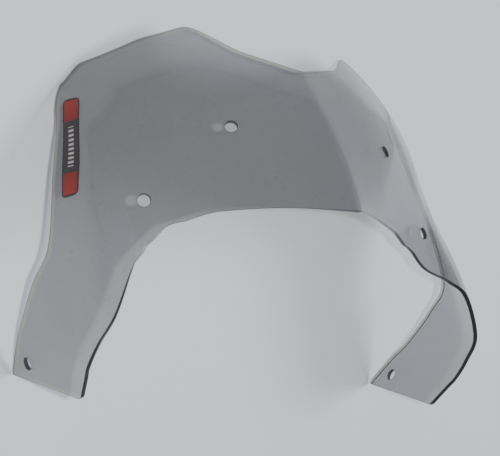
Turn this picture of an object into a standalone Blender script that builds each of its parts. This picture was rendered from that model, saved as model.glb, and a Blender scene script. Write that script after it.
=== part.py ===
"""Motorcycle headlight screen: one sheet of smoked acrylic, formed over a mould and trimmed.

The sheet lies hollow side down. X runs across the motorcycle and the sheet is mirrored about
X = 0, +Y runs from the two legs towards the top edge, and +Z is the side that meets the wind.
It has a fold down its middle, a cut-out for the headlight between two legs, a notched top edge
and six fixing holes. The second piece is a plain vinyl decal on the -X side.
Lengths are in metres.
"""
import bpy
import bmesh
import numpy as np
from mathutils import Matrix, Vector

MM = 0.001

# Driving dimensions
SHEET_THICKNESS = 3.0 * MM
HOLE_DIAMETER = 8.5 * MM
FOLD_ROUNDING = 0.04           # softness of the middle fold, in section spacings
CORNER_BLEND = 2.5 * MM        # half width of the rounding at the top edge's corners
PEAK_BLEND = 5.0 * MM          # the same at the two peaks
BROW_CORNER_SECTION = 2.0       # where the cut-out turns from the brow to the shoulder
BROW_CORNER_SPAN = 0.4          # how far along the outline the corner reaches, in sections
BROW_CORNER_REACH = 0.018       # and how far out of it, as a share of the section
LEG_CORNER_RADIUS = 4.0 * MM
LEG_WIDTH = 89.0 * MM
LEG_END_SPACING = 24.0 * MM    # length of leg between its last two sections
FLOOR_CENTRE = np.array([0.0, 124.64, -1.005]) * MM

# Stations from the middle fold round to the leg's end, in millimetres. At each one the sheet is a
# curve from its point on the cut-out edge to its far point, which is on the side edge for the legs
# and the shoulder, and past the top edge for the rest.
CUT_OUT_EDGE = np.array([
    (0, 140, 156),             # middle fold
    (45, 134, 121),            # brow
    (92, 121, 95),             # corner at the brow's end
    (113, 104, 95),            # shoulder
    (126, 97, 109),
    (137, 88, 118),
    (147, 60, 123),            # side corner
    (151, 40, 113),            # leg
    (150, 25, 104),
    (149, 16, 98),
    (146, 1, 88),              # leg's end
]) * MM
FAR_EDGE = np.array([
    (0, 254, 40),
    (64, 262, 6),
    (122, 236, -9),
    (149, 196, 2),             # the side edge starts
    (155, 166, 20),
    (161, 138, 37),
    (167, 93, 58),
    (169, 68, 46),
    (166, 38, 27),
    (163, 24, 16),
    (156, -1, 0),
]) * MM
# Where each curve's knee stands: how far along the line between its ends, and how far out from
# that line, both as a share of the line's length. The leg's end is straight.
LEAN = np.array([0.30, 0.36, 0.40, 0.44, 0.40, 0.40, 0.50, 0.50, 0.50, 0.50, 0.50])
BULGE = np.array([0.08, 0.19, 0.22, 0.17, 0.09, 0.06, 0.07, 0.05, 0.0, 0.0, 0.0])
LAST_SECTION = len(CUT_OUT_EDGE) - 1.0

# The leg's end is flat: its last three stations lie in one plane, X = foot + splay * Y - lean * Z.
FLAT_SECTIONS = 3
LEG_FOOT_X = 156.2 * MM
LEG_SPLAY = 0.34
LEG_LEAN = 0.128
for edge in (CUT_OUT_EDGE, FAR_EDGE):
    end = edge[-FLAT_SECTIONS:]
    end[:, 0] = LEG_FOOT_X + LEG_SPLAY * end[:, 1] - LEG_LEAN * end[:, 2]

# Corners of the top edge seen from the front, from the notch's middle to the side edge's start.
TOP_EDGE_X = np.array([0.0, 42.0, 67.0, 100.0, 137.0, 149.0]) * MM
TOP_EDGE_Y = np.array([230.0, 238.0, 252.0, 237.0, 214.0, 196.0]) * MM
PEAK_X = TOP_EDGE_X[2]

# Fixing holes: section number and fraction of the way from the cut-out edge to the far point.
HOLES = {"upper": (1.12, 0.39), "side": (2.7, 0.18), "leg": (9.5, 0.79)}

# Decal
DECAL_CENTRE = (3.95, 0.84)
DECAL_RUN = np.array([0.15, -0.82, 0.55])
DECAL_LENGTH = 77.0 * MM
DECAL_WIDTH = 12.0 * MM
DECAL_CORNER_RADIUS = 3.5 * MM
DECAL_THICKNESS = 0.4 * MM
DECAL_GAP = 0.3 * MM

# Mesh fineness
ROWS = 10
COLUMNS_PER_SECTION = 6
HOLE_SIDES = 24
DECAL_ROWS = 10                # from its middle to its round corners
DECAL_COLUMNS = 7
MERGE_DISTANCE = 0.00005


def clear_scene():
    for thing in list(bpy.data.objects):
        bpy.data.objects.remove(thing, do_unlink=True)


def new_collection(name):
    collection = bpy.data.collections.new(name)
    bpy.context.scene.collection.children.link(collection)
    return collection


def spline(points, place):
    """Catmull-Rom curve through the points, read at a fractional point number."""
    ends = np.vstack([2 * points[0] - points[1], points, 2 * points[-1] - points[-2]])
    index = np.clip(np.floor(place).astype(int), 0, len(points) - 2)
    u = (place - index)[..., None]
    a, b, c, d = ends[index], ends[index + 1], ends[index + 2], ends[index + 3]
    cubic = 3 * b - a - 3 * c + d
    return b + 0.5 * ((c - a) * u + (2 * a - 5 * b + 4 * c - d) * u**2 + cubic * u**3)


def knee_points():
    """The knee of each station's curve, from its lean, and its bulge square to the sheet."""
    across = FAR_EDGE - CUT_OUT_EDGE
    length = np.linalg.norm(across, axis=1, keepdims=True)
    along = np.gradient((CUT_OUT_EDGE + FAR_EDGE) / 2, axis=0)
    along[0] = (1, 0, 0)
    out = np.cross(along, across)
    out /= np.linalg.norm(out, axis=1, keepdims=True)
    return CUT_OUT_EDGE + LEAN[:, None] * across + BULGE[:, None] * length * out


KNEES = knee_points()


def section_curve(place, across):
    """Quadratic curve of one section: from its cut-out point, towards its knee, to its far point."""
    near, knee, far = (spline(points, place) for points in (CUT_OUT_EDGE, KNEES, FAR_EDGE))
    t = across[..., None]
    return near * (1 - t)**2 + knee * 2 * t * (1 - t) + far * t**2


def mould(place, across):
    """Point of the outer face. Y and Z use a softened section number, which rounds the fold."""
    place, across = np.broadcast_arrays(np.asarray(place, float), np.asarray(across, float))
    softened = np.minimum(np.hypot(place, FOLD_ROUNDING), LAST_SECTION)
    sideways = section_curve(place, across)
    upright = section_curve(softened, across)
    return np.stack([sideways[..., 0], upright[..., 1], upright[..., 2]], axis=-1)


def top_edge(x):
    """Height of the top edge at x: straight runs between corners, averaged to round them."""
    peak = np.exp(-((x - PEAK_X) / (2 * PEAK_BLEND))**2)
    reach = CORNER_BLEND + (PEAK_BLEND - CORNER_BLEND) * peak
    steps = np.linspace(-1, 1, 15)
    runs = [np.interp(np.abs(x + step * reach), TOP_EDGE_X, TOP_EDGE_Y) for step in steps]
    return np.mean(runs, axis=0)


def trim_fraction(place):
    """How far each section runs before it meets the top edge; 1 where the side edge ends it."""
    samples = np.linspace(0, 1, 201)
    points = mould(place[:, None], samples[None, :])
    over = points[..., 1] - top_edge(points[..., 0])
    over[points[..., 0] >= TOP_EDGE_X[-1]] = -1.0
    trimmed = over.max(axis=1) > 0
    first = np.argmax(over > 0, axis=1)
    row = np.arange(len(place))
    after = over[row, first]
    rise = np.where(trimmed, after - over[row, first - 1], 1.0)
    crossing = samples[first] - after / rise * (samples[1] - samples[0])
    return np.where(trimmed, crossing, 1.0)


def leg_corner_inset(place):
    """Share of the leg's width that the round corners take away near its end."""
    distance = (LAST_SECTION - place) * LEG_END_SPACING
    inside = np.clip(LEG_CORNER_RADIUS - distance, 0, LEG_CORNER_RADIUS)
    return (LEG_CORNER_RADIUS - np.sqrt(LEG_CORNER_RADIUS**2 - inside**2)) / LEG_WIDTH


def brow_corner_reach(place):
    """Share of its section that the sheet reaches further into the cut-out at the brow's corner."""
    nearness = 1 - np.abs(place - BROW_CORNER_SECTION) / BROW_CORNER_SPAN
    return BROW_CORNER_REACH * np.clip(nearness, 0, None)


def grid_mesh(name, points, flip=False):
    """Open surface mesh from a grid of points, one quad to a cell."""
    rows, columns = points.shape[:2]
    number = np.arange(rows * columns).reshape(rows, columns)
    corners = [number[:-1, :-1], number[1:, :-1], number[1:, 1:], number[:-1, 1:]]
    faces = np.stack([corner.ravel() for corner in corners], axis=1)
    if flip:
        faces = faces[:, ::-1]
    mesh = bpy.data.meshes.new(name)
    mesh.from_pydata(points.reshape(-1, 3).tolist(), [], faces.tolist())
    mesh.update()
    return mesh


def material(name, colour, roughness, alpha=1.0):
    made = bpy.data.materials.new(name)
    made.use_nodes = True
    shader = made.node_tree.nodes["Principled BSDF"]
    shader.inputs["Base Color"].default_value = (*colour, 1.0)
    shader.inputs["Roughness"].default_value = roughness
    shader.inputs["Metallic"].default_value = 0.0
    shader.inputs["Alpha"].default_value = alpha
    return made


def add_object(name, mesh, collection, finish=None):
    thing = bpy.data.objects.new(name, mesh)
    collection.objects.link(thing)
    if finish:
        mesh.materials.append(finish)
    return thing


def surface_directions(place, across):
    """Change of the outer face's point with its section number, and with its fraction across."""
    step = 0.001
    along = (mould(place + step, across) - mould(place - step, across)) / (2 * step)
    sideways = (mould(place, across + step) - mould(place, across - step)) / (2 * step)
    return along, sideways


def outward(place, across):
    """Unit normal of the outer face."""
    normal = np.cross(*surface_directions(place, across))
    return normal / np.linalg.norm(normal, axis=-1, keepdims=True)


def sheet_columns():
    """Section numbers of the mesh's columns: even steps, closer at the fold and the leg's end."""
    even = np.arange(0, LAST_SECTION + 0.01, 1 / COLUMNS_PER_SECTION)
    fold = FOLD_ROUNDING * np.array([0.4, 0.8, 1.3])
    corner = LAST_SECTION - LEG_CORNER_RADIUS / LEG_END_SPACING * np.array([0.08, 0.3, 0.6, 1.0])
    return np.unique(np.concatenate([even, fold, corner]))


def build_drills(collection):
    """One cutter holding a cylinder square to the sheet at each of the six holes."""
    work = bmesh.new()
    for place, across in HOLES.values():
        point = mould(place, across)
        normal = outward(place, across)
        for side in (1, -1):
            mirrored = np.array([side, 1, 1])
            centre = Vector(point * mirrored - FLOOR_CENTRE)
            axis = Vector(normal * mirrored)
            turn = axis.to_track_quat('Z', 'Y').to_matrix().to_4x4()
            bmesh.ops.create_cone(
                work, cap_ends=True, segments=HOLE_SIDES,
                radius1=HOLE_DIAMETER / 2, radius2=HOLE_DIAMETER / 2,
                depth=6 * SHEET_THICKNESS, matrix=Matrix.Translation(centre) @ turn)
    mesh = bpy.data.meshes.new("hole_drills")
    work.to_mesh(mesh)
    work.free()
    drills = add_object("hole_drills", mesh, collection)
    drills.hide_render = True
    drills.display_type = 'WIRE'
    return drills


def build_screen(collection, cutters):
    """The +X half as an open face, mirrored, thickened inwards and drilled."""
    place = sheet_columns()
    inset = leg_corner_inset(place)
    share = np.linspace(0, 1, ROWS)[None, :]
    start = (inset - brow_corner_reach(place))[:, None]
    stop = (trim_fraction(place) - inset)[:, None]
    points = mould(place[:, None], start + (stop - start) * share)
    smoke = material("smoked_acrylic", (0.16, 0.16, 0.17), 0.08, alpha=0.5)
    mesh = grid_mesh("screen_sheet", points - FLOOR_CENTRE)
    screen = add_object("screen_sheet", mesh, collection, smoke)

    mirror = screen.modifiers.new("Mirror", 'MIRROR')
    mirror.merge_threshold = MERGE_DISTANCE
    solidify = screen.modifiers.new("Thickness", 'SOLIDIFY')
    solidify.thickness = SHEET_THICKNESS
    solidify.offset = -1.0
    solidify.use_even_offset = True
    drill = screen.modifiers.new("Holes", 'BOOLEAN')
    drill.operation = 'DIFFERENCE'
    drill.object = build_drills(cutters)
    return screen


def places_on_sheet(centre, run, span, a, b):
    """Places that lie a along the run and b along the span from the centre, by Newton's method."""
    middle = mould(*centre)
    place = np.full(a.shape, float(centre[0]))
    across = np.full(a.shape, float(centre[1]))
    for _ in range(8):
        offset = mould(place, across) - middle
        short_a = a - offset @ run
        short_b = b - offset @ span
        along, sideways = surface_directions(place, across)
        area = (along @ run) * (sideways @ span) - (sideways @ run) * (along @ span)
        place = place + (short_a * (sideways @ span) - short_b * (sideways @ run)) / area
        across = across + (short_b * (along @ run) - short_a * (along @ span)) / area
    return place, across


def decal_length_steps():
    """Places of the decal's rows along its length, closer over its round corners."""
    half = DECAL_LENGTH / 2
    arc = half - DECAL_CORNER_RADIUS * np.array([0.0, 0.13, 0.5, 1.0])
    straight = np.linspace(0, half - DECAL_CORNER_RADIUS, DECAL_ROWS)
    steps = np.concatenate([arc, straight])
    return np.unique(np.concatenate([steps, -steps]).round(7))


def build_decal(collection):
    """Vinyl patch a hair above the outer face of the -X side, following its curve."""
    normal = outward(*DECAL_CENTRE)
    run = DECAL_RUN - DECAL_RUN @ normal * normal
    run /= np.linalg.norm(run)
    span = np.cross(normal, run)

    length_steps = decal_length_steps()
    beyond = np.clip(np.abs(length_steps) - (DECAL_LENGTH / 2 - DECAL_CORNER_RADIUS), 0, None)
    rounding = DECAL_CORNER_RADIUS - np.sqrt(np.maximum(DECAL_CORNER_RADIUS**2 - beyond**2, 0))
    half_width = DECAL_WIDTH / 2 - rounding
    a = length_steps[:, None]
    b = half_width[:, None] * np.linspace(-1, 1, DECAL_COLUMNS)[None, :]
    place, across = places_on_sheet(DECAL_CENTRE, run, span, np.broadcast_to(a, b.shape), b)
    points = mould(place, across) + outward(place, across) * DECAL_GAP
    points[..., 0] *= -1
    vinyl = material("decal_vinyl", (0.35, 0.03, 0.02), 0.35)
    decal_mesh = grid_mesh("side_decal", points - FLOOR_CENTRE, flip=True)
    decal = add_object("side_decal", decal_mesh, collection, vinyl)
    solidify = decal.modifiers.new("Thickness", 'SOLIDIFY')
    solidify.thickness = DECAL_THICKNESS
    solidify.offset = 1.0
    return decal


def main():
    clear_scene()
    parts = new_collection("headlight_screen")
    cutters = new_collection("cutters")
    build_screen(parts, cutters)
    build_decal(parts)


main()
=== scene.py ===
"""Looks of the motorcycle headlight screen: clear-smoke acrylic, its cut and drilled edges, the decal.

The sheet is the same mould surface as the CAD's, worked out finely and given rounded edges. A place on
it is a pair of numbers: the section number, counted from the middle fold to each leg's end and negative
on the -X side, and the fraction of the way from the cut-out edge to the far edge.
"""
import math
import bpy
import bmesh
import numpy as np
from mathutils import Matrix, Vector


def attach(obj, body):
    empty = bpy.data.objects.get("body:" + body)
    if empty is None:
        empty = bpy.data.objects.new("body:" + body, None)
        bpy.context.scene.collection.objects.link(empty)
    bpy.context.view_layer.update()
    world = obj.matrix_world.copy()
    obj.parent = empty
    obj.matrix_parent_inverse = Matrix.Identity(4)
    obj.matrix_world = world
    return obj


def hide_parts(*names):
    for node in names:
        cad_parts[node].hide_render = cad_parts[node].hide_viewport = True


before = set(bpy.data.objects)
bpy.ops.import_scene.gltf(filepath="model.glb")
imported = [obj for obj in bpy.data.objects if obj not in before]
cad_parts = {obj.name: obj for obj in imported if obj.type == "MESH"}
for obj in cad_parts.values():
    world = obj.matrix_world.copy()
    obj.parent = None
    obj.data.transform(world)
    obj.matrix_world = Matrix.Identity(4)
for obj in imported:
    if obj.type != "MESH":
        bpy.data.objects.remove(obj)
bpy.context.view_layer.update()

MM = 0.001

# ---------------------------------------------------------------- the sheet's shape, as in the CAD
THICKNESS = 3.0 * MM
HOLE_RADIUS = 4.25 * MM
FOLD_ROUNDING = 0.04
CORNER_BLEND = 2.5 * MM
PEAK_BLEND = 5.0 * MM
BROW_CORNER_SECTION = 2.0       # where the cut-out turns from the brow to the shoulder
BROW_CORNER_SPAN = 0.4          # how far along the outline the corner reaches, in sections
BROW_CORNER_REACH = 0.018       # and how far out of it, as a share of the section
LEG_CORNER_RADIUS = 4.0 * MM
LEG_WIDTH = 89.0 * MM
LEG_END_SPACING = 24.0 * MM     # length of leg between its last two sections
FLOOR_CENTRE = np.array([0.0, 124.64, -1.005]) * MM

# Stations from the middle fold round to the leg's end, in millimetres. At each one the sheet is a
# curve from its point on the cut-out edge to its far point, which is on the side edge for the legs
# and the shoulder, and past the top edge for the rest.
CUT_OUT_EDGE = np.array([
    (0, 140, 156),             # middle fold
    (45, 134, 121),            # brow
    (92, 121, 95),             # corner at the brow's end
    (113, 104, 95),            # shoulder
    (126, 97, 109),
    (137, 88, 118),
    (147, 60, 123),            # side corner
    (151, 40, 113),            # leg
    (150, 25, 104),
    (149, 16, 98),
    (146, 1, 88),              # leg's end
]) * MM
FAR_EDGE = np.array([
    (0, 254, 40),
    (64, 262, 6),
    (122, 236, -9),
    (149, 196, 2),             # the side edge starts
    (155, 166, 20),
    (161, 138, 37),
    (167, 93, 58),
    (169, 68, 46),
    (166, 38, 27),
    (163, 24, 16),
    (156, -1, 0),
]) * MM
# Where each curve's knee stands: how far along the line between its ends, and how far out from
# that line, both as a share of the line's length. The leg's end is straight.
LEAN = np.array([0.30, 0.36, 0.40, 0.44, 0.40, 0.40, 0.50, 0.50, 0.50, 0.50, 0.50])
BULGE = np.array([0.08, 0.19, 0.22, 0.17, 0.09, 0.06, 0.07, 0.05, 0.0, 0.0, 0.0])
LAST_SECTION = len(CUT_OUT_EDGE) - 1.0

# The leg's end is flat: its last three stations lie in one plane, X = foot + splay * Y - lean * Z.
FLAT_SECTIONS = 3
LEG_FOOT_X = 156.2 * MM
LEG_SPLAY = 0.34
LEG_LEAN = 0.128
for edge in (CUT_OUT_EDGE, FAR_EDGE):
    end = edge[-FLAT_SECTIONS:]
    end[:, 0] = LEG_FOOT_X + LEG_SPLAY * end[:, 1] - LEG_LEAN * end[:, 2]

# Corners of the top edge seen from the front, from the notch's middle to the side edge's start.
TOP_EDGE_X = np.array([0.0, 42.0, 67.0, 100.0, 137.0, 149.0]) * MM
TOP_EDGE_Y = np.array([230.0, 238.0, 252.0, 237.0, 214.0, 196.0]) * MM
PEAK_X = TOP_EDGE_X[2]

# Fixing holes: section number and fraction of the way from the cut-out edge to the far point.
HOLES = ((1.12, 0.39), (2.7, 0.18), (9.5, 0.79))

# ---------------------------------------------------------------- fineness and edges
COLUMNS_PER_SECTION = 21
ROWS = 76
FOLD_COLUMNS = 10               # beside the middle fold
CORNER_COLUMNS = 8              # round the leg's corners
LEAST_COLUMN_GAP = 0.012        # in sections
DIRECTION_STEP = 0.001          # in sections and in fractions, for reading the sheet's directions
TRIM_SAMPLES = 401
TOP_EDGE_SAMPLES = 15
EDGE_BREAK = 0.45 * MM          # radius of the sheet's scraped and polished edges
HOLE_BREAK = 0.3 * MM
BREAK_STEPS = 3
HOLE_BLOCK = 7.5 * MM           # half size of the block of cells that a hole's ring replaces
HOLE_RINGS = 6
HOLE_PASSES = 4                 # rounds of correction that bring a ring to its radius
EDGE_CLEARANCE = 0.35 * MM      # the sheet stays this far inside the CAD's outline

# ---------------------------------------------------------------- decal
DECAL_CENTRE = (3.95, 0.84)
DECAL_RUN = np.array([0.15, -0.82, 0.55])
DECAL_LENGTH = 77.0 * MM
DECAL_WIDTH = 12.0 * MM
DECAL_CORNER_RADIUS = 3.5 * MM
DECAL_THICKNESS = 0.12 * MM
DECAL_LIFT = 0.03 * MM
DECAL_HALF_COLUMNS = 40
DECAL_CORNER_COLUMNS = 9
DECAL_ROWS = 25
DECAL_PASSES = 8                # rounds of correction that bring the patch to its size

# ---------------------------------------------------------------- finishes
FACE, CUT_EDGE, DRILLED = range(3)
ACRYLIC_IOR = 1.49
SMOKE_TINT = (0.019, 0.018, 0.019)
SMOKE_DENSITY = 0.36
DUST_GREY = (0.42, 0.42, 0.43)
EDGE_BLACK = (0.008, 0.008, 0.009)
# painted highlight: the lighter grey given to the cut edge's rounded corners, in place of light caught
# there
PAINTED_ARRIS_HIGHLIGHT = (0.10, 0.10, 0.11)
EDGE_FROM_WITHIN = (0.80, 0.77, 0.68)
DRILLED_BLACK = (0.012, 0.012, 0.013)
DRILLED_GREY = (0.07, 0.07, 0.075)
WALL_FROM_WITHIN = (0.62, 0.61, 0.58)
DARK_LINE_START = 0.16 * THICKNESS
DARK_LINE_END = 0.24 * THICKNESS
VINYL_BLACK = (0.018, 0.016, 0.018)
VINYL_BORDER = (0.012, 0.010, 0.010)
DEEP_RED = (0.15, 0.003, 0.002)
WARM_RED = (0.24, 0.010, 0.003)
BAR_GREY = (0.34, 0.32, 0.31)
WORN_VINYL = (0.20, 0.14, 0.14)
BARS_IN_LENGTH = 22.0

# ---------------------------------------------------------------- camera, room and lamps
CAMERA_PLACE = (-0.4724, 0.0209, 0.7572)
CAMERA_RIGHT = (0.8335, 0.1314, 0.5367)
CAMERA_BACK = (-0.5448, 0.0334, 0.8379)
CAMERA_LENS = 86.4
CAMERA_SENSOR = 36.0
CAMERA_REACH = 50.0
ROOM_COLOUR = (0.62, 0.65, 0.72, 1.0)
ROOM_STRENGTH = 0.62
TABLE_HALF = 6.0
TABLE_LINES = 13


# ================================================================ surface
def spline(points, place):
    """Catmull-Rom curve through the points, read at a fractional point number."""
    ends = np.vstack([2 * points[0] - points[1], points, 2 * points[-1] - points[-2]])
    index = np.clip(np.floor(place).astype(int), 0, len(points) - 2)
    u = (place - index)[..., None]
    a, b, c, d = ends[index], ends[index + 1], ends[index + 2], ends[index + 3]
    cubic = 3 * b - a - 3 * c + d
    return b + 0.5 * ((c - a) * u + (2 * a - 5 * b + 4 * c - d) * u**2 + cubic * u**3)


def knee_points():
    """The knee of each station's curve, from its lean, and its bulge square to the sheet."""
    across = FAR_EDGE - CUT_OUT_EDGE
    length = np.linalg.norm(across, axis=1, keepdims=True)
    along = np.gradient((CUT_OUT_EDGE + FAR_EDGE) / 2, axis=0)
    along[0] = (1, 0, 0)
    out = np.cross(along, across)
    out /= np.linalg.norm(out, axis=1, keepdims=True)
    return CUT_OUT_EDGE + LEAN[:, None] * across + BULGE[:, None] * length * out


KNEES = knee_points()


def section_curve(place, across):
    """One section's quadratic curve: near point * (1-t)^2 + knee * 2t(1-t) + far point * t^2."""
    near, knee, far = (spline(points, place) for points in (CUT_OUT_EDGE, KNEES, FAR_EDGE))
    t = across[..., None]
    return near * (1 - t)**2 + knee * 2 * t * (1 - t) + far * t**2


def mould(place, across):
    """Outer face. X is the section curve's, with the side's sign. Y and Z are read at the section
    number sqrt(place^2 + rounding^2), which turns the middle crease into a small radius."""
    place, across = np.broadcast_arrays(np.asarray(place, float), np.asarray(across, float))
    number = np.abs(place)
    softened = np.minimum(np.hypot(number, FOLD_ROUNDING), LAST_SECTION)
    sideways = section_curve(number, across)[..., 0] * np.sign(place)
    upright = section_curve(softened, across)
    return np.stack([sideways, upright[..., 1], upright[..., 2]], axis=-1) - FLOOR_CENTRE


def mould_directions(place, across):
    """Change of the outer face's point with its section number, and with its fraction."""
    step = DIRECTION_STEP
    along = (mould(place + step, across) - mould(place - step, across)) / (2 * step)
    sideways = (mould(place, across + step) - mould(place, across - step)) / (2 * step)
    return along, sideways


def outward(place, across):
    """Unit normal of the outer face: the two directions' cross product."""
    place, across = np.broadcast_arrays(np.asarray(place, float), np.asarray(across, float))
    normal = np.cross(*mould_directions(place, across))
    return normal / np.linalg.norm(normal, axis=-1, keepdims=True)


def in_sheet(place, across, depth):
    """Point at a depth below the outer face, along its normal."""
    depth = np.asarray(depth, float)[..., None]
    return mould(place, across) - outward(place, across) * depth


def top_edge(x):
    """Height of the top edge at x: straight runs between corners, averaged to round them."""
    peak = np.exp(-((x - PEAK_X) / (2 * PEAK_BLEND))**2)
    reach = CORNER_BLEND + (PEAK_BLEND - CORNER_BLEND) * peak
    steps = np.linspace(-1, 1, TOP_EDGE_SAMPLES)
    runs = [np.interp(np.abs(x + step * reach), TOP_EDGE_X, TOP_EDGE_Y) for step in steps]
    return np.mean(runs, axis=0)


def trim_fraction(number):
    """How far each section runs before it meets the top edge; 1 where the side edge ends it."""
    samples = np.linspace(0, 1, TRIM_SAMPLES)
    points = mould(number[:, None], samples[None, :]) + FLOOR_CENTRE
    over = points[..., 1] - top_edge(points[..., 0])
    over[points[..., 0] >= TOP_EDGE_X[-1]] = -1.0
    trimmed = over.max(axis=1) > 0
    first = np.argmax(over > 0, axis=1)
    row = np.arange(len(number))
    after = over[row, first]
    rise = np.where(trimmed, after - over[row, first - 1], 1.0)
    crossing = samples[first] - after / rise * (samples[1] - samples[0])
    return np.where(trimmed, crossing, 1.0)


def leg_corner_inset(number):
    """Share of the leg's width that the round corners take away near its end."""
    distance = (LAST_SECTION - number) * LEG_END_SPACING
    inside = np.clip(LEG_CORNER_RADIUS - distance, 0, LEG_CORNER_RADIUS)
    return (LEG_CORNER_RADIUS - np.sqrt(LEG_CORNER_RADIUS**2 - inside**2)) / LEG_WIDTH


def brow_corner_reach(number):
    """Share of its section that the sheet reaches further into the cut-out at the brow's corner."""
    nearness = 1 - np.abs(number - BROW_CORNER_SECTION) / BROW_CORNER_SPAN
    return BROW_CORNER_REACH * np.clip(nearness, 0, None)


# ================================================================ meshes
class Patches:
    """Gathers surface patches, each a grid of points with a UV and a material number, into one mesh."""

    def __init__(self):
        self.points = []
        self.faces = []
        self.uvs = []
        self.finishes = []
        self.count = 0

    def add(self, points, uv, finish=0, flip=False, keep=None):
        """Grid of points (rows, columns, 3) and uv (rows, columns, 2); keep masks its cells."""
        rows, columns = points.shape[:2]
        number = np.arange(rows * columns).reshape(rows, columns)
        corners = [number[:-1, :-1], number[1:, :-1], number[1:, 1:], number[:-1, 1:]]
        cells = np.stack([corner.ravel() for corner in corners], axis=1)
        if keep is not None:
            cells = cells[keep.ravel()]
        if flip:
            cells = cells[:, ::-1]
        self.points.append(points.reshape(-1, 3))
        self.faces.append(cells + self.count)
        self.uvs.append(uv.reshape(-1, 2)[cells].reshape(-1, 2))
        self.finishes.append(np.full(len(cells), finish))
        self.count += rows * columns

    def mesh(self, name):
        """One mesh with shared corners, smooth but for its sharp edges."""
        points = np.concatenate(self.points)
        faces = np.concatenate(self.faces)
        made = bpy.data.meshes.new(name)
        made.from_pydata(points.tolist(), [], faces.tolist())
        made.polygons.foreach_set("material_index", np.concatenate(self.finishes).astype(np.int32))
        layer = made.uv_layers.new(name="sheet_map")
        layer.data.foreach_set("uv", np.concatenate(self.uvs).astype(np.float32).ravel())
        work = bmesh.new()
        work.from_mesh(made)
        bmesh.ops.remove_doubles(work, verts=work.verts, dist=0.002 * MM)
        work.to_mesh(made)
        work.free()
        made.polygons.foreach_set("use_smooth", np.ones(len(made.polygons), bool))
        made.set_sharp_from_angle(angle=math.radians(50))
        made.update()
        return made


def sheet_columns():
    """Section numbers from leg to leg: even steps, closer at the fold, the corners and the ends."""
    even = np.linspace(0, LAST_SECTION, int(LAST_SECTION) * COLUMNS_PER_SECTION + 1)
    fold = np.linspace(0, 3 * FOLD_ROUNDING, FOLD_COLUMNS)
    round_corner = LEG_CORNER_RADIUS / LEG_END_SPACING
    turn = np.linspace(0, math.pi / 2, CORNER_COLUMNS)
    corner = LAST_SECTION - round_corner * (1 - np.cos(turn))
    number = np.concatenate([even[even > fold[-1] + LEAST_COLUMN_GAP], fold, corner])
    number = np.unique(number.round(6))
    apart = np.diff(number, prepend=-1) > LEAST_COLUMN_GAP
    number = number[apart | (number > LAST_SECTION - round_corner)]
    return np.concatenate([-number[:0:-1], number])


def sheet_grid(columns, inset):
    """(section numbers, fractions) of the face's grid, its outline drawn in by inset all round."""
    number = np.minimum(np.abs(columns), LAST_SECTION - inset / LEG_END_SPACING)
    place = np.sign(columns) * number
    length = np.linalg.norm(mould_directions(place, np.full_like(place, 0.5))[1], axis=-1)
    corner = leg_corner_inset(np.abs(columns))
    draw = inset / length
    start = corner + draw - brow_corner_reach(number)
    stop = trim_fraction(number) - corner - draw
    share = np.linspace(0, 1, ROWS)[:, None]
    return np.broadcast_to(place, (ROWS, len(place))), start + (stop - start) * share


def loop(grid):
    """The grid's outline as one closed run: cut-out edge, one leg's end, far edge, other leg's end."""
    return np.concatenate([grid[0, :-1], grid[:-1, -1], grid[-1, :0:-1], grid[:0:-1, 0], grid[:1, 0]])


def wall_profile(radius):
    """(inset, depth) steps down a cut wall: over a rounded edge, down its flat, over the other edge."""
    turn = np.linspace(0, math.pi / 2, BREAK_STEPS + 1)
    outer = [(radius * (1 - math.sin(a)), radius * (1 - math.cos(a))) for a in turn]
    return outer + [(inset, THICKNESS - depth) for inset, depth in reversed(outer)]


def wall_uv(run, profile):
    """UV of a cut wall: how far along it, and the depth below the outer face."""
    depths = np.array([depth for _, depth in profile])
    return np.stack(np.broadcast_arrays(run[None, :], depths[:, None]), axis=-1)


def hole_ring(centre, radius, bearings):
    """(section numbers, fractions) of a circle square to the sheet, one place to each bearing.

    Starts from the flat approximation, then moves each place by the sheet's own directions until
    its distance from the hole's axis is the radius."""
    place0, across0 = centre
    middle = mould(place0, across0)
    axis = outward(place0, across0)
    directions = np.stack(mould_directions(place0, np.asarray(across0, float)), axis=1)
    to_sheet = np.linalg.pinv(directions)
    place = np.full(len(bearings), float(place0))
    across = np.full(len(bearings), float(across0))
    target = bearings * radius
    for _ in range(HOLE_PASSES):
        offset = mould(place, across) - middle
        offset -= (offset @ axis)[:, None] * axis
        change = (target - offset) @ to_sheet.T
        place = place + change[:, 0]
        across = across + change[:, 1]
    return place, across


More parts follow.
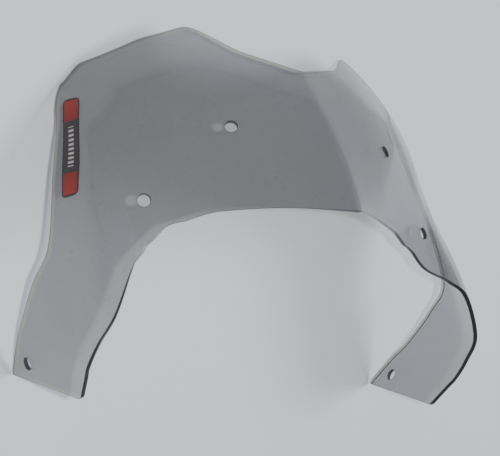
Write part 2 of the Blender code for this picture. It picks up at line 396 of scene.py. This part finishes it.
def add_hole(patches, grid, centre, keep):
    """Replaces a block of the face's cells by rings that run from the block's outline to the hole."""
    place, across = grid
    middle = mould(*centre)
    points = mould(place, across)
    row, column = np.unravel_index(np.argmin(np.linalg.norm(points - middle, axis=-1)), place.shape)
    across_gap = np.linalg.norm(points[:, column] - middle, axis=-1)
    along_gap = np.linalg.norm(points[row] - middle, axis=-1)
    rows = np.flatnonzero(across_gap < HOLE_BLOCK)
    columns = np.flatnonzero(along_gap < HOLE_BLOCK)
    block = (slice(rows[0], rows[-1] + 1), slice(columns[0], columns[-1] + 1))
    keep[rows[0]:rows[-1], columns[0]:columns[-1]] = False
    outline = loop(place[block]), loop(across[block])

    axis = outward(*centre)
    offset = mould(*outline) - middle
    offset -= (offset @ axis)[:, None] * axis
    bearings = offset / np.linalg.norm(offset, axis=1, keepdims=True)
    rim = hole_ring(centre, HOLE_RADIUS + HOLE_BREAK, bearings)
    blend = np.linspace(0, 1, HOLE_RINGS + 1)[:, None]
    rings = [(1 - blend) * outline[i] + blend * rim[i] for i in range(2)]
    uv = np.stack(rings, axis=-1)
    flat = np.zeros(rings[0].shape)
    patches.add(in_sheet(*rings, flat), uv, finish=FACE, flip=True)
    patches.add(in_sheet(*rings, flat + THICKNESS), uv, finish=FACE)

    profile = wall_profile(HOLE_BREAK)
    wall = []
    for inset, depth in profile:
        ring = hole_ring(centre, HOLE_RADIUS + inset, bearings)
        wall.append(in_sheet(*ring, np.full(len(bearings), depth)))
    turn = np.arange(len(bearings)) / (len(bearings) - 1)
    patches.add(np.stack(wall), wall_uv(turn, profile), finish=DRILLED, flip=True)


def build_sheet():
    """Outer and inner face on one grid, joined by the rounded edge and by the six drilled holes."""
    patches = Patches()
    columns = sheet_columns()
    grid = sheet_grid(columns, EDGE_CLEARANCE + EDGE_BREAK)
    keep = np.ones((ROWS - 1, len(columns) - 1), bool)
    for place, across in HOLES:
        for side in (1, -1):
            add_hole(patches, grid, (side * place, across), keep)
    uv = np.stack(grid, axis=-1)
    flat = np.zeros(grid[0].shape)
    patches.add(in_sheet(*grid, flat), uv, finish=FACE, flip=True, keep=keep)
    patches.add(in_sheet(*grid, flat + THICKNESS), uv, finish=FACE, keep=keep)

    profile = wall_profile(EDGE_BREAK)
    wall = []
    for inset, depth in profile:
        place, across = sheet_grid(columns, EDGE_CLEARANCE + inset)
        place, across = loop(place), loop(across)
        wall.append(in_sheet(place, across, np.full(len(place), depth)))
    run = np.cumsum(np.linalg.norm(np.diff(wall[0], axis=0, prepend=wall[0][:1]), axis=1))
    patches.add(np.stack(wall), wall_uv(run, profile), finish=CUT_EDGE)
    return patches.mesh("formed_sheet")


def places_on_sheet(centre, run, span, a, b):
    """Places that lie a along the run and b along the span from the centre, by Newton's method."""
    middle = mould(*centre)
    place = np.full(a.shape, float(centre[0]))
    across = np.full(a.shape, float(centre[1]))
    for _ in range(DECAL_PASSES):
        offset = mould(place, across) - middle
        short_a = a - offset @ run
        short_b = b - offset @ span
        along, sideways = mould_directions(place, across)
        area = (along @ run) * (sideways @ span) - (sideways @ run) * (along @ span)
        place = place + (short_a * (sideways @ span) - short_b * (sideways @ run)) / area
        across = across + (short_b * (along @ run) - short_a * (along @ span)) / area
    return place, across


def build_decal():
    """Thin patch that follows the sheet: a rounded rectangle of places round the decal's centre,
    lifted along the normal, with its own edge strip. UV runs over its length and width, 0 to 1."""
    centre = -DECAL_CENTRE[0], DECAL_CENTRE[1]
    axis = outward(*centre)
    run = DECAL_RUN * np.array([-1, 1, 1])
    run = run - run @ axis * axis
    run /= np.linalg.norm(run)
    span = np.cross(axis, run)

    half = DECAL_LENGTH / 2
    turn = np.linspace(0, math.pi / 2, DECAL_CORNER_COLUMNS)
    arc = half - DECAL_CORNER_RADIUS * (1 - np.cos(turn))
    straight = np.linspace(0, half - DECAL_CORNER_RADIUS, DECAL_HALF_COLUMNS)
    length = np.unique(np.concatenate([arc, straight]).round(7))
    length = np.concatenate([-length[:0:-1], length])
    beyond = np.clip(np.abs(length) - (half - DECAL_CORNER_RADIUS), 0, None)
    rounding = DECAL_CORNER_RADIUS - np.sqrt(np.maximum(DECAL_CORNER_RADIUS**2 - beyond**2, 0))
    b = (DECAL_WIDTH / 2 - rounding)[:, None] * np.linspace(-1, 1, DECAL_ROWS)[None, :]
    a = np.broadcast_to(length[:, None], b.shape)
    place, across = places_on_sheet(centre, run, span, a, b)
    uv = np.stack([a / DECAL_LENGTH + 0.5, b / DECAL_WIDTH + 0.5], axis=-1)
    low = np.full(place.shape, -DECAL_LIFT)
    high = low - DECAL_THICKNESS
    patches = Patches()
    patches.add(in_sheet(place, across, high), uv)
    patches.add(in_sheet(place, across, low), uv, flip=True)
    rim = [in_sheet(loop(place), loop(across), loop(depth)) for depth in (high, low)]
    rim_uv = np.stack([loop(uv)] * 2)
    patches.add(np.stack(rim), rim_uv)
    return patches.mesh("vinyl_decal")


# ================================================================ shader maths
class Value:
    """A shader socket in an expression: +, -, *, / and the like add Math nodes."""

    def __init__(self, tree, socket):
        self.tree = tree
        self.socket = socket

    def maths(self, operation, *others, clamp=False):
        made = self.tree.nodes.new("ShaderNodeMath")
        made.operation = operation
        made.use_clamp = clamp
        for place, value in enumerate(others):
            if isinstance(value, Value):
                self.tree.links.new(value.socket, made.inputs[place])
            else:
                made.inputs[place].default_value = value
        return Value(self.tree, made.outputs[0])

    def __add__(self, other):
        return self.maths("ADD", self, other)

    def __sub__(self, other):
        return self.maths("SUBTRACT", self, other)

    def __rsub__(self, other):
        return self.maths("SUBTRACT", other, self)

    def __mul__(self, other):
        return self.maths("MULTIPLY", self, other)

    def __truediv__(self, other):
        return self.maths("DIVIDE", self, other)

    def __pow__(self, other):
        return self.maths("POWER", self, other)

    def larger(self, other):
        return self.maths("MAXIMUM", self, other)

    def absolute(self):
        return self.maths("ABSOLUTE", self)

    def fraction(self):
        return self.maths("FRACT", self)

    def clamped(self):
        return self.maths("ADD", self, 0.0, clamp=True)

    def step(self, low, high):
        """0 below low, 1 above high, and straight in between."""
        return self.maths("MULTIPLY", self - low, 1.0 / (high - low), clamp=True)


class Finish:
    """A material being made. node() adds any node but the maths; surface() ends it."""

    def __init__(self, name):
        self.material = bpy.data.materials.new(name)
        self.material.use_nodes = True
        self.tree = self.material.node_tree
        self.tree.nodes.clear()

    def node(self, kind, settings=None, values=None):
        """Adds a node: its settings first, then a value or a link for each named socket."""
        made = self.tree.nodes.new(kind)
        for name, value in (settings or {}).items():
            setattr(made, name, value)
        for name, value in (values or {}).items():
            socket = made.inputs[name]
            if isinstance(value, Value):
                self.tree.links.new(value.socket, socket)
            else:
                socket.default_value = value
        return made

    def out(self, made, name=0):
        return Value(self.tree, made.outputs[name])

    def coordinates(self, kind="Object", scale=(1, 1, 1), turn=(0, 0, 0)):
        """Object or UV coordinates, scaled and turned by a Mapping node."""
        source = self.out(self.node("ShaderNodeTexCoord"), kind)
        mapping = self.node("ShaderNodeMapping", values={
            "Vector": source, "Scale": scale, "Rotation": turn})
        return self.out(mapping, "Vector")

    def split(self, vector):
        made = self.node("ShaderNodeSeparateXYZ", values={"Vector": vector})
        return self.out(made, "X"), self.out(made, "Y"), self.out(made, "Z")

    def noise(self, vector, scale, detail=3.0, roughness=0.5):
        made = self.node("ShaderNodeTexNoise", values={
            "Vector": vector, "Scale": scale, "Detail": detail, "Roughness": roughness})
        return self.out(made, "Fac")

    def blend(self, share, one, other):
        """Colour mix: one where share is 0, other where it is 1."""
        made = self.node("ShaderNodeMix", {"data_type": "RGBA"})
        for place, value in ((0, share), (6, one), (7, other)):
            if isinstance(value, Value):
                self.tree.links.new(value.socket, made.inputs[place])
            elif place == 0:
                made.inputs[place].default_value = value
            else:
                made.inputs[place].default_value = (*value, 1.0)
        return self.out(made, 2)

    def bump(self, height, strength, distance):
        made = self.node("ShaderNodeBump", values={
            "Height": height, "Strength": strength, "Distance": distance})
        return self.out(made, "Normal")

    def layered(self, share, one, other):
        """Mixed shader: one where share is 0, other where it is 1."""
        mixed = self.node("ShaderNodeMixShader", values={"Fac": share})
        self.tree.links.new(one.outputs[0], mixed.inputs[1])
        self.tree.links.new(other.outputs[0], mixed.inputs[2])
        return self.out(mixed, "Shader")

    def seen_from_within(self, shader, tint, share=1.0):
        """The shader outside; from within the sheet, a clear surface with a tint, by its share."""
        inside = self.out(self.node("ShaderNodeNewGeometry"), "Backfacing") * share
        clear = self.node("ShaderNodeBsdfTransparent", values={"Color": (*tint, 1.0)})
        return self.layered(inside, shader, clear)

    def surface(self, shader):
        output = self.node("ShaderNodeOutputMaterial")
        self.tree.links.new(shader.socket, output.inputs["Surface"])
        return self.material


def scratches(finish, turn, along, across, low, high):
    """Fine lines: noise squeezed hard along one direction, kept only where it peaks."""
    vector = finish.coordinates(scale=(along, across, across), turn=turn)
    return finish.noise(vector, 1.0, detail=2.0, roughness=0.6).step(low, high)


def smoke_face():
    """Polished smoked acrylic: see-through by its tint, mirroring more at grazing angles, with dust,
    wiping marks and a few long scratches that catch the light."""
    finish = Finish("smoked_acrylic_face")
    place = finish.coordinates()
    cloud = finish.noise(place, 14.0, detail=3.0)
    dust = finish.noise(place, 900.0, detail=1.0, roughness=0.4).step(0.66, 0.78)
    speck = finish.noise(place, 260.0, detail=0.0).step(0.74, 0.80)
    fine = scratches(finish, (0.3, 0.2, 0.55), 9.0, 700.0, 0.66, 0.80)
    wiped = scratches(finish, (-0.2, 0.4, 1.25), 16.0, 420.0, 0.68, 0.84)
    marks = (dust * 0.10 + speck * 0.12 + fine * 0.08 + wiped * 0.06).clamped()

    tint = cloud.step(0.2, 0.8) * 0.03 + SMOKE_DENSITY
    alpha = (tint + marks * 0.5).clamped()
    roughness = cloud * 0.05 + marks * 0.25 + 0.02
    colour = finish.blend(marks, SMOKE_TINT, DUST_GREY)
    normal = finish.bump(fine * 0.5 + wiped * 0.5, 0.05, 0.0002)
    body = finish.node("ShaderNodeBsdfPrincipled", values={
        "Base Color": colour, "Roughness": roughness, "Alpha": alpha,
        "IOR": ACRYLIC_IOR, "Normal": normal})
    mirror = finish.node("ShaderNodeBsdfGlossy", values={
        "Color": (1.0, 1.0, 1.0, 1.0), "Roughness": 0.04, "Normal": normal})
    facing = finish.out(finish.node("ShaderNodeLayerWeight", values={"Blend": 0.5}), "Facing")
    grazing = facing**5.0 * 0.20 + 0.03
    return finish.surface(finish.layered(grazing.clamped(), body, mirror))


def cut_edge():
    """Sawn, scraped and flame-polished edge: nearly black, with fine saw chatter across it and a
    painted highlight along its corners: a lighter grey that stands in for light caught on the polished
    arris. From within the sheet only a line by the outer face is dark."""
    finish = Finish("smoked_acrylic_edge")
    _, depth, _ = finish.split(finish.coordinates("UV"))
    chatter = finish.noise(finish.coordinates("UV", scale=(900.0, 60.0, 1.0)), 1.0, detail=2.0)
    wander = finish.noise(finish.coordinates(), 60.0, detail=3.0)
    corner = (depth - 0.5 * THICKNESS).absolute()
    arris = (corner / (0.5 * THICKNESS)).step(0.82, 1.0)
    # painted highlight: the edge's rounded corners are blended towards a lighter grey, as if they
    # caught the light
    colour = finish.blend(arris * 0.6, EDGE_BLACK, PAINTED_ARRIS_HIGHLIGHT)
    roughness = chatter * 0.20 + wander * 0.12 + arris * 0.15 + 0.06
    normal = finish.bump(chatter, 0.25, 0.00008)
    shader = finish.node("ShaderNodeBsdfPrincipled", values={
        "Base Color": colour, "Roughness": roughness, "IOR": ACRYLIC_IOR, "Normal": normal,
        "Coat Weight": 0.4, "Coat Roughness": 0.08})
    clear_share = depth.step(DARK_LINE_START, DARK_LINE_END)
    return finish.surface(finish.seen_from_within(shader, EDGE_FROM_WITHIN, clear_share))


def drilled_wall():
    """Wall of a drilled hole: dark like the edge, dulled by the drill, with fine rings round it."""
    finish = Finish("smoked_acrylic_drilled")
    rings = finish.noise(finish.coordinates("UV", scale=(2.0, 9000.0, 1.0)), 1.0, detail=1.0)
    wander = finish.noise(finish.coordinates(), 500.0, detail=2.0)
    colour = finish.blend(rings, DRILLED_BLACK, DRILLED_GREY)
    roughness = wander * 0.2 + rings * 0.15 + 0.22
    normal = finish.bump(rings, 0.3, 0.00005)
    shader = finish.node("ShaderNodeBsdfPrincipled", values={
        "Base Color": colour, "Roughness": roughness, "IOR": ACRYLIC_IOR, "Normal": normal})
    return finish.surface(finish.seen_from_within(shader, WALL_FROM_WITHIN))


def printed_vinyl():
    """Satin vinyl: dark field, a plain warm red block at each end, a row of plain pale bars between
    them and a dark border, with fine grain in the film."""
    finish = Finish("printed_vinyl")
    u, v, _ = finish.split(finish.coordinates("UV"))
    along = (u - 0.5).absolute() * 2.0
    across = (v - 0.5).absolute() * 2.0
    grain = finish.noise(finish.coordinates(), 2500.0, detail=1.0)
    shade = finish.noise(finish.coordinates(), 45.0, detail=2.0)
    border = along.step(0.955, 0.962).larger(across.step(0.80, 0.835))
    block = along.step(0.52, 0.535)
    fade = along.step(0.5, 1.0)
    red = finish.blend(fade, DEEP_RED, WARM_RED)
    field = finish.blend(block, VINYL_BLACK, red)
    bar_row = (across * -1.0 + 0.34).step(0.0, 0.05)
    repeat = (u * BARS_IN_LENGTH).fraction()
    bar_shape = repeat.step(0.18, 0.22) * (1.0 - repeat.step(0.70, 0.74))
    bars = bar_row * bar_shape * (1.0 - along.step(0.40, 0.41))
    colour = finish.blend(bars, field, BAR_GREY)
    colour = finish.blend(border, colour, VINYL_BORDER)
    colour = finish.blend(grain * 0.05 + shade * 0.03, colour, WORN_VINYL)
    roughness = grain * 0.10 + shade * 0.12 + 0.24
    normal = finish.bump(grain, 0.12, 0.00004)
    shader = finish.node("ShaderNodeBsdfPrincipled", values={
        "Base Color": colour, "Roughness": roughness, "IOR": 1.45, "Normal": normal,
        "Coat Weight": 0.08, "Coat Roughness": 0.15})
    return finish.surface(finish.out(shader, "BSDF"))


def table_top():
    """Plain pale matt table."""
    finish = Finish("pale_table")
    mottle = finish.noise(finish.coordinates(), 5.0, detail=3.0)
    colour = finish.blend(mottle, (0.60, 0.605, 0.615), (0.64, 0.64, 0.645))
    shader = finish.node("ShaderNodeBsdfPrincipled", values={
        "Base Color": colour, "Roughness": 0.6, "IOR": 1.3})
    return finish.surface(finish.out(shader, "BSDF"))


# ================================================================ scene
def add_piece(mesh, finishes, replaced):
    """Shows a mesh with its finishes, riding on the fixed body in place of a CAD node."""
    made = bpy.data.objects.new(mesh.name, mesh)
    bpy.context.scene.collection.objects.link(made)
    for finish in finishes:
        mesh.materials.append(finish)
    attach(made, "root")
    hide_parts(replaced)


def add_floor():
    """One large flat square under the object."""
    edge = np.linspace(-TABLE_HALF, TABLE_HALF, TABLE_LINES)
    x, y = np.meshgrid(edge, edge, indexing="ij")
    patches = Patches()
    patches.add(np.stack([x, y, np.zeros_like(x)], axis=-1), np.stack([x, y], axis=-1), flip=True)
    mesh = patches.mesh("table")
    mesh.materials.append(table_top())
    floor = bpy.data.objects.new("table", mesh)
    bpy.context.scene.collection.objects.link(floor)


def add_lamp(name, position, size, power, colour):
    """Round area lamp at a position, turned to face the origin. The sheet doesn't mirror it."""
    data = bpy.data.lights.new(name, "AREA")
    data.shape = "DISK"
    data.size = size
    data.energy = power
    data.color = colour
    lamp = bpy.data.objects.new(name, data)
    bpy.context.scene.collection.objects.link(lamp)
    lamp.location = position
    lamp.rotation_euler = (-Vector(position)).to_track_quat("-Z", "Y").to_euler()
    lamp.visible_glossy = False


def add_camera():
    """Camera at the product shot's angle: given by its place and its right, up and back directions."""
    right = Vector(CAMERA_RIGHT).normalized()
    back = Vector(CAMERA_BACK).normalized()
    up = back.cross(right).normalized()
    right = up.cross(back)
    turn = Matrix((right, up, back)).transposed().to_4x4()
    data = bpy.data.cameras.new("camera")
    data.lens = CAMERA_LENS
    data.sensor_width = CAMERA_SENSOR
    data.clip_end = CAMERA_REACH
    camera = bpy.data.objects.new("camera", data)
    camera.matrix_world = Matrix.Translation(CAMERA_PLACE) @ turn
    bpy.context.scene.collection.objects.link(camera)
    bpy.context.scene.camera = camera


def add_light():
    """Soft window light from +X, a small lamp beside the camera, and a grey room."""
    world = bpy.data.worlds.new("room")
    world.use_nodes = True
    background = world.node_tree.nodes["Background"]
    background.inputs["Color"].default_value = ROOM_COLOUR
    background.inputs["Strength"].default_value = ROOM_STRENGTH
    bpy.context.scene.world = world
    add_lamp("window", (1.1, 0.25, 1.5), size=0.9, power=32.0, colour=(0.86, 0.92, 1.0))
    add_lamp("near_lamp", (-0.41, 0.03, 0.80), size=0.03, power=5.0, colour=(1.0, 0.97, 0.93))


add_piece(build_sheet(), [smoke_face(), cut_edge(), drilled_wall()], "screen_sheet")
add_piece(build_decal(), [printed_vinyl()], "side_decal")
add_floor()
add_camera()
add_light()
